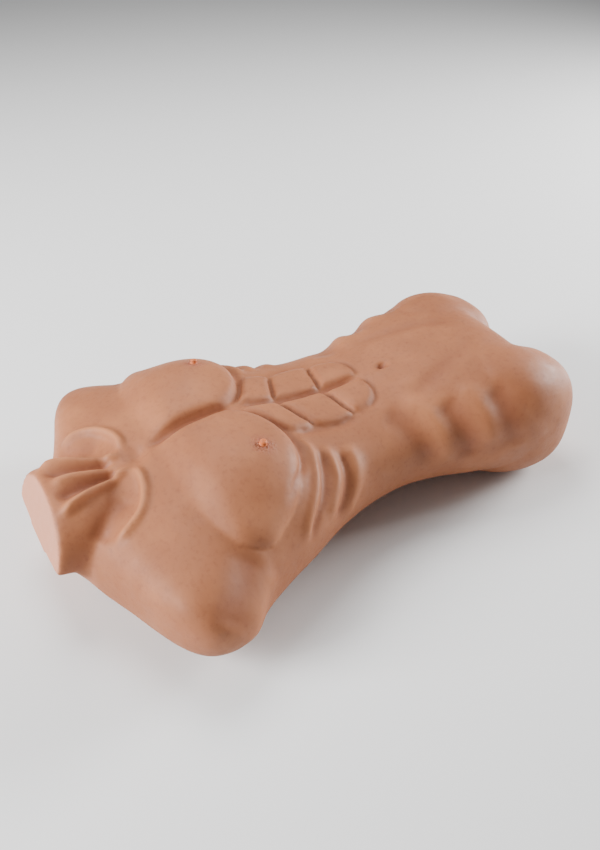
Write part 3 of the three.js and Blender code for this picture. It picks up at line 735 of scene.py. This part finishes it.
def nylon_finish(settings):
    """Pale nylon, greyed where it rubs."""
    finish = Finish("nylon")
    rubbed = finish.range(finish.noise(scale=130, detail=4), high=0.5, start=0.45, end=0.75)
    finish.link(finish.mix(rubbed, settings.nylon, settings.rubbed_nylon), "Base Color")
    finish.link(finish.range(finish.noise(scale=220), low=0.38, high=0.6), "Roughness")
    finish.bump((finish.noise(scale=900), 0.00006))
    return finish.material


def floor_finish(settings):
    """A plain pale floor, barely uneven in tone."""
    finish = Finish("floor")
    uneven = finish.noise(scale=3, detail=3)
    finish.link(finish.mix(uneven, settings.floor, darker(settings.floor, 0.985)), "Base Color")
    finish.set("Roughness", 0.9)
    finish.set("Specular IOR Level", 0.1)
    return finish.material


# ---- Operators ----------------------------------------------------------------------------------------


FOAM_CUTS = 3  # cuts in each edge of the waist's foam, so that it can flex
SAME_PLACE = 1e-6


def blend_at_waist(piece):
    """Bakes the piece's placement into its mesh."""
    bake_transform(piece)


def turned_form(profile, sides):
    """A closed form turned round Z, from its outline in millimetres."""
    bm = bmesh.new()
    verts = [bm.verts.new(Vector((out, 0, up)) * MM) for out, up in profile]
    edges = [bm.edges.new(pair) for pair in zip(verts, verts[1:])]
    bmesh.ops.spin(
        bm,
        geom=verts + edges,
        cent=(0, 0, 0),
        axis=(0, 0, 1),
        angle=2 * math.pi,
        steps=sides,
        use_merge=True,
    )
    bmesh.ops.remove_doubles(bm, verts=bm.verts, dist=SAME_PLACE)
    bmesh.ops.recalc_face_normals(bm, faces=bm.faces)
    return bm


class TORSO_OT_skin(bpy.types.Operator):
    """Cast the seamless skin"""

    bl_idname = "torso.skin"
    bl_label = "Skin"

    def execute(self, context):
        piece = skin_form()
        carve(piece)
        piece.data.materials.append(skin_finish(context.scene.torso_skin))
        piece.data.shade_smooth()
        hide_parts("skin_chest", "skin_waist", "skin_pelvis")
        blend_at_waist(piece)
        return {"FINISHED"}


class TORSO_OT_nipples(bpy.types.Operator):
    """Set the two small cast nipples on the chest"""

    bl_idname = "torso.nipples"
    bl_label = "Nipples"

    def execute(self, context):
        skin = bpy.data.objects["skin"]
        material = nipple_finish(context.scene.torso_skin)
        for side, sign in (("left", -1), ("right", 1)):
            above = spot(sign * NIPPLE[0], NIPPLE[1], ABOVE)
            _, place, normal, _ = skin.ray_cast(above, DOWN)
            bm = turned_form(NIPPLE_PROFILE, NIPPLE_SIDES)
            turn = (-DOWN).rotation_difference(normal).to_matrix()
            bmesh.ops.rotate(bm, verts=bm.verts, cent=(0, 0, 0), matrix=turn)
            bmesh.ops.translate(bm, verts=bm.verts, vec=place)
            piece = mesh_object(f"nipple_{side}_cast", bm)
            fine = piece.modifiers.new("fine", "SUBSURF")
            fine.levels = fine.render_levels = 2
            apply_modifiers(piece)
            piece.data.materials.append(material)
            piece.data.shade_smooth()
            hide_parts(f"nipple_{side}")
            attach(piece, "chest")
        return {"FINISHED"}


class TORSO_OT_waist_foam(bpy.types.Operator):
    """Fit the band of foam that flexes at the waist"""

    bl_idname = "torso.waist_foam"
    bl_label = "Waist foam"

    def execute(self, context):
        bm = bmesh.new()
        bm.from_mesh(frame["nodes"]["core_waist"].data)
        bmesh.ops.remove_doubles(bm, verts=bm.verts, dist=SAME_PLACE)
        bmesh.ops.subdivide_edges(bm, edges=bm.edges, cuts=FOAM_CUTS, use_grid_fill=True)
        piece = mesh_object("waist_foam", bm)
        piece.data.materials.append(foam_finish(context.scene.torso_inside))
        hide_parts("core_waist")
        blend_at_waist(piece)
        return {"FINISHED"}


class TORSO_OT_inside(bpy.types.Operator):
    """Finish the foam, the steel frame and its hardware"""

    bl_idname = "torso.inside"
    bl_label = "Frame finishes"

    def execute(self, context):
        settings = context.scene.torso_inside
        finishes = {
            "foam": bpy.data.materials["foam"],
            "frame_steel": steel_finish(settings),
            "zinc_hardware": zinc_finish(settings),
            "nylon": nylon_finish(settings),
        }
        slots = {part["node"]: part["material_slot"] for part in frame["record"]["subparts"]}
        for name, node in frame["nodes"].items():
            if slots.get(name) in finishes:
                for slot in node.material_slots:
                    slot.material = finishes[slots[name]]
        return {"FINISHED"}


TARGET = (-10, 326, 90)  # what the camera looks at: across, along and up
SENSOR = 36  # the camera's film, in millimetres across
FLOOR_HALF = 6  # half the floor's side, in metres
# Name, place and size in metres, and power in watts. Each lamp faces the frame's origin.
LAMPS = [
    ("neck_side", (-0.3, -2.3, 1.1), 1.1, 128),
    ("thigh_side", (0.1, 2.4, 0.75), 1.1, 125),
    ("overhead", (-1.0, 0.0, 2.1), 1.2, 40),
]


class TORSO_OT_stage(bpy.types.Operator):
    """Set the floor, the lights and the camera"""

    bl_idname = "torso.stage"
    bl_label = "Stage"

    def execute(self, context):
        scene = context.scene
        settings = scene.torso_stage
        turn, rise = math.radians(settings.azimuth), math.radians(settings.elevation)
        view = Vector((-math.sin(turn) * math.cos(rise), math.cos(turn) * math.cos(rise), -math.sin(rise)))
        data = bpy.data.cameras.new("camera")
        data.lens = settings.lens
        data.sensor_fit = "AUTO"
        data.sensor_width = SENSOR
        camera = bpy.data.objects.new("camera", data)
        camera.location = spot(*TARGET) - view * settings.distance
        camera.rotation_euler = view.to_track_quat("-Z", "Y").to_euler()
        scene.collection.objects.link(camera)
        scene.camera = camera

        world = bpy.data.worlds.new("studio")
        world.use_nodes = True
        world.node_tree.nodes["Background"].inputs["Color"].default_value = (1, 1, 1, 1)
        world.node_tree.nodes["Background"].inputs["Strength"].default_value = settings.sky
        scene.world = world
        bm = bmesh.new()
        bmesh.ops.create_grid(bm, x_segments=1, y_segments=1, size=FLOOR_HALF)
        floor = mesh_object("floor", bm)
        floor.data.materials.append(floor_finish(settings))
        for name, place, size, power in LAMPS:
            lamp = bpy.data.lights.new(name, "AREA")
            lamp.size = size
            lamp.energy = power
            light = bpy.data.objects.new(name, lamp)
            light.location = place
            light.rotation_euler = (-Vector(place)).to_track_quat("-Z", "Y").to_euler()
            scene.collection.objects.link(light)
        return {"FINISHED"}


class TORSO_PT_panel(bpy.types.Panel):
    """The mannequin's pieces and stage"""

    bl_label = "Torso mannequin"
    bl_idname = "TORSO_PT_panel"
    bl_space_type = "VIEW_3D"
    bl_region_type = "UI"
    bl_category = "Mannequin"

    def draw(self, context):
        for operator in OPERATORS:
            self.layout.operator(operator.bl_idname)


OPERATORS = (TORSO_OT_skin, TORSO_OT_nipples, TORSO_OT_waist_foam, TORSO_OT_inside, TORSO_OT_stage)
CLASSES = (SkinSettings, InsideSettings, StageSettings, *OPERATORS, TORSO_PT_panel)


def register():
    for cls in CLASSES:
        bpy.utils.register_class(cls)
    bpy.types.Scene.torso_skin = bpy.props.PointerProperty(type=SkinSettings)
    bpy.types.Scene.torso_inside = bpy.props.PointerProperty(type=InsideSettings)
    bpy.types.Scene.torso_stage = bpy.props.PointerProperty(type=StageSettings)


def unregister():
    del bpy.types.Scene.torso_stage
    del bpy.types.Scene.torso_inside
    del bpy.types.Scene.torso_skin
    for cls in reversed(CLASSES):
        bpy.utils.unregister_class(cls)


def main():
    register()
    bpy.ops.torso.skin()
    bpy.ops.torso.nipples()
    bpy.ops.torso.waist_foam()
    bpy.ops.torso.inside()
    bpy.ops.torso.stage()


if __name__ == "__main__":
    main()
